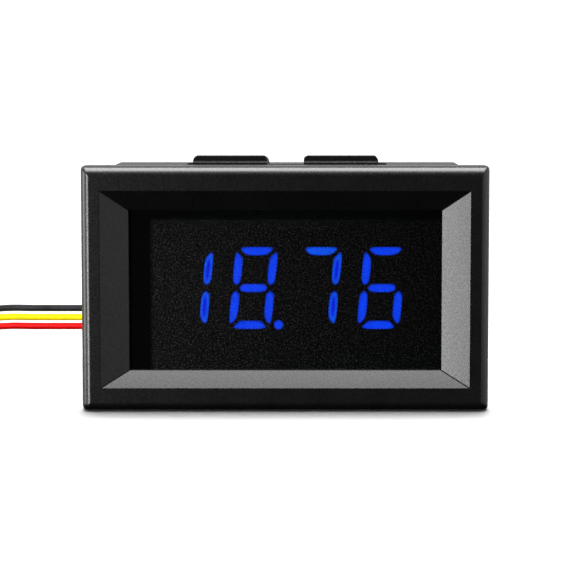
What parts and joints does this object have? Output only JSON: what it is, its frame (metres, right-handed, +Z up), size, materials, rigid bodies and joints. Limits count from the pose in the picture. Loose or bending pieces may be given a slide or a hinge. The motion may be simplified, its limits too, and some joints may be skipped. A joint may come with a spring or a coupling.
{
  "type": "digital panel meter",
  "caption": "Snap-in panel meter with a sloped bezel, a smoked window over a lit four-digit display, and three leads on a plug.",
  "frame": {"origin": "centre of the bezel's rear face, which seats on the panel", "axes": "+X to the right seen from the front, +Y to the back through the panel, +Z up"},
  "size_m": [0.0833, 0.0361, 0.03],
  "materials": {
    "case_plastic": "black moulded plastic with a fine spark texture",
    "smoked_filter": "smoked matt acrylic",
    "display_plastic": "matt black face",
    "board": "green solder resist",
    "tinned": "tinned copper",
    "die": "light-emitting die",
    "lit_blue": "clear fill, lit blue",
    "dark_fill": "clear fill, unlit",
    "solder": "bright solder",
    "chip": "black moulding compound",
    "can": "drawn aluminium",
    "ceramic": "fired ceramic with tinned ends",
    "resistor": "black glaze with tinned ends",
    "trimmer_plastic": "blue moulded plastic",
    "rotor_plastic": "off-white moulded plastic",
    "cream_plastic": "cream moulded plastic",
    "black_sleeve": "black lead insulation",
    "yellow_sleeve": "yellow lead insulation",
    "red_sleeve": "red lead insulation",
    "tie_plastic": "natural nylon"
  },
  "bodies": {
    "meter": {"case": "case_plastic", "filter": "smoked_filter", "display_housing": "display_plastic", "display_board": "board", "display_pins": "tinned", "led_dies": "die", "lit_segments": "lit_blue", "dark_segments": "dark_fill", "circuit_board": "board", "solder_joints": "solder", "controller_body": "chip", "controller_leads": "tinned", "regulator_body": "chip", "regulator_leads": "tinned", "diode_body": "chip", "diode_leads": "tinned", "capacitor_can": "can", "capacitor_base": "chip", "ceramic_capacitors": "ceramic", "chip_resistors": "resistor", "trimmer_body": "trimmer_plastic", "trimmer_leads": "tinned", "header_housing": "cream_plastic", "header_pins": "tinned"},
    "trimmer_screw": {"trimmer_rotor": "rotor_plastic"},
    "lead_plug": {"plug_housing": "cream_plastic", "plug_contacts": "tinned", "lead_black": "black_sleeve", "lead_yellow": "yellow_sleeve", "lead_red": "red_sleeve", "coil_black": "black_sleeve", "coil_yellow": "yellow_sleeve", "coil_red": "red_sleeve", "lead_ends": "tinned", "coil_tie": "tie_plastic"}
  },
  "joints": [
    {"name": "trimmer_turn", "type": "hinge", "parent": "meter", "child": "trimmer_screw", "pos_m": [0.0155, 0.012, 0.0065], "axis": [0, 1, 0], "range_deg": [-120, 120]},
    {"name": "plug_pull", "type": "slide", "parent": "meter", "child": "lead_plug", "axis": [0, 1, 0], "range_m": [0, 0.004]}
  ]
}
